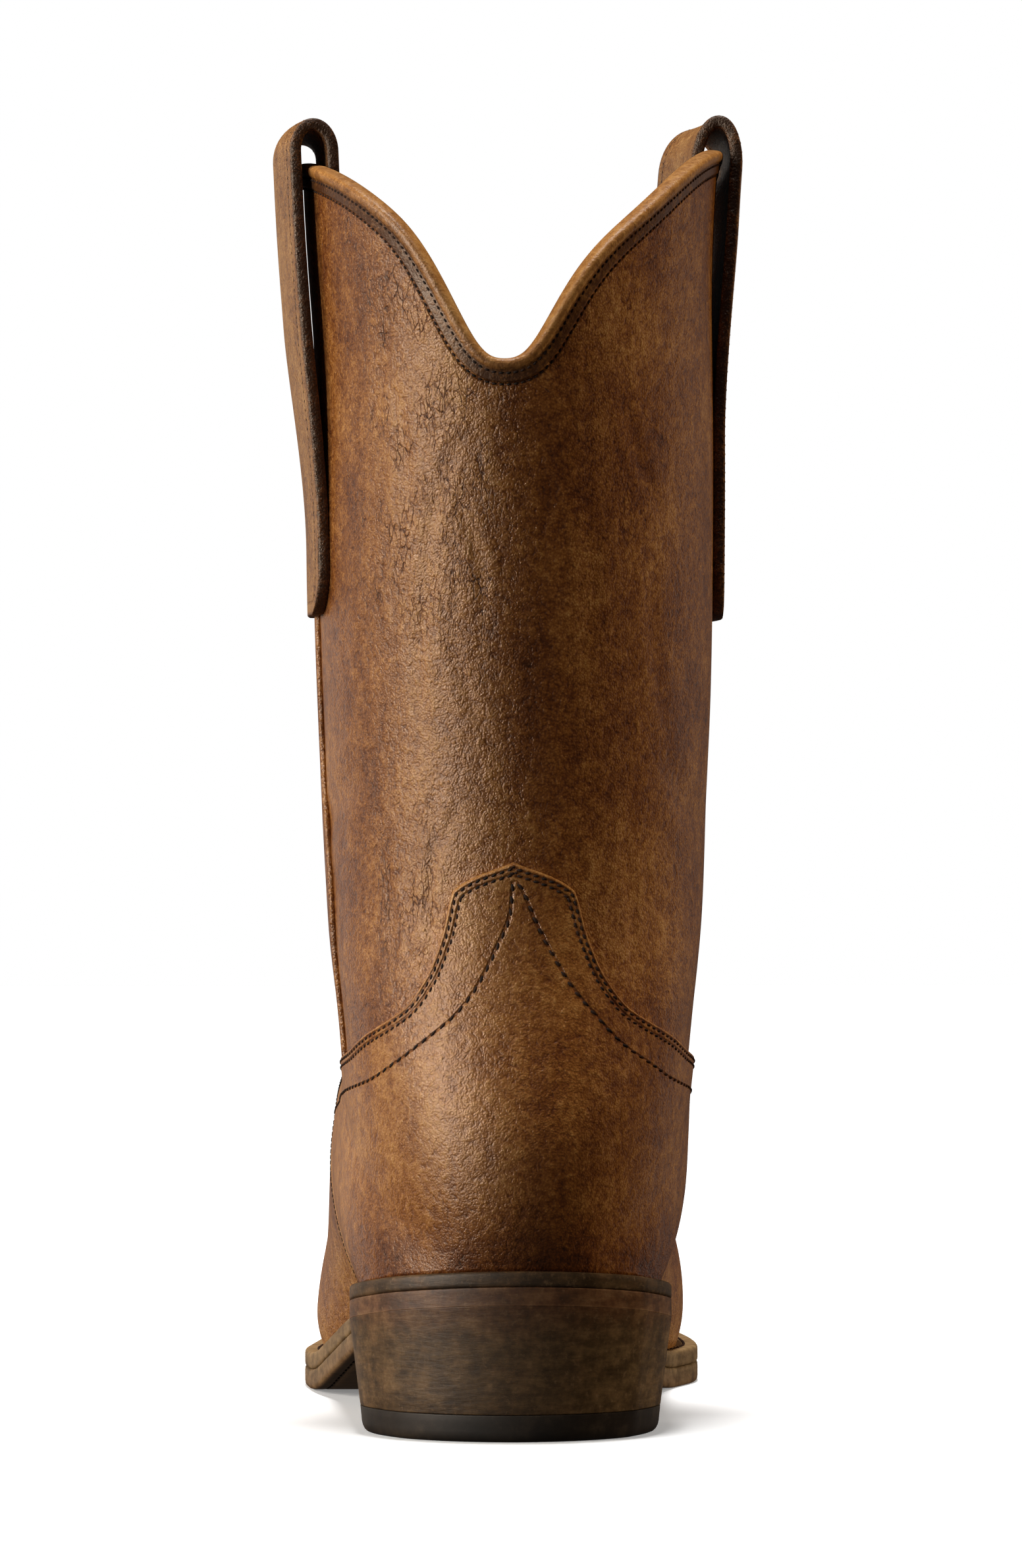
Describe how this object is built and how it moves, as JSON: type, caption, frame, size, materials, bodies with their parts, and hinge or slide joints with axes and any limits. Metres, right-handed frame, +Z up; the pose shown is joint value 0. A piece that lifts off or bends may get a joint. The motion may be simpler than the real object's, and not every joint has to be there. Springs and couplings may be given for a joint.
{
  "type": "western boot",
  "caption": "Left pull-on western boot of worn brown leather: scalloped bound collar, pull straps, peaked counter, plain round toe, welted leather sole and stacked block heel.",
  "frame": {"origin": "on the floor, under the middle of the boot's bounding box", "axes": "+Z up, +Y from the heel to the toe, +X to the inner side of the foot"},
  "size_m": [0.1142, 0.3034, 0.3145],
  "materials": {
    "brown_leather": "worn, grained, satin",
    "vamp_leather": "worn, grained, satin",
    "counter_leather": "smooth, rubbed, satin",
    "seam_leather": "grained, satin",
    "binding_leather": "smooth, rubbed, satin",
    "strap_leather": "grained, dull, raw edges",
    "insole_leather": "natural, matte",
    "welt_leather": "dyed edge, scuffed",
    "outsole_leather": "dyed, matte",
    "stack_leather": "burnished layers, scuffed",
    "cap_rubber": "matte"
  },
  "bodies": {
    "root": {"upper": "brown_leather", "vamp": "vamp_leather", "counter": "counter_leather", "side_seam_lateral": "seam_leather", "side_seam_medial": "seam_leather", "topline_binding": "binding_leather", "pull_strap_lateral": "strap_leather", "pull_strap_medial": "strap_leather", "insole": "insole_leather", "welt": "welt_leather", "outsole": "outsole_leather", "heel_stack": "stack_leather", "heel_cap": "cap_rubber"}
  },
  "joints": []
}
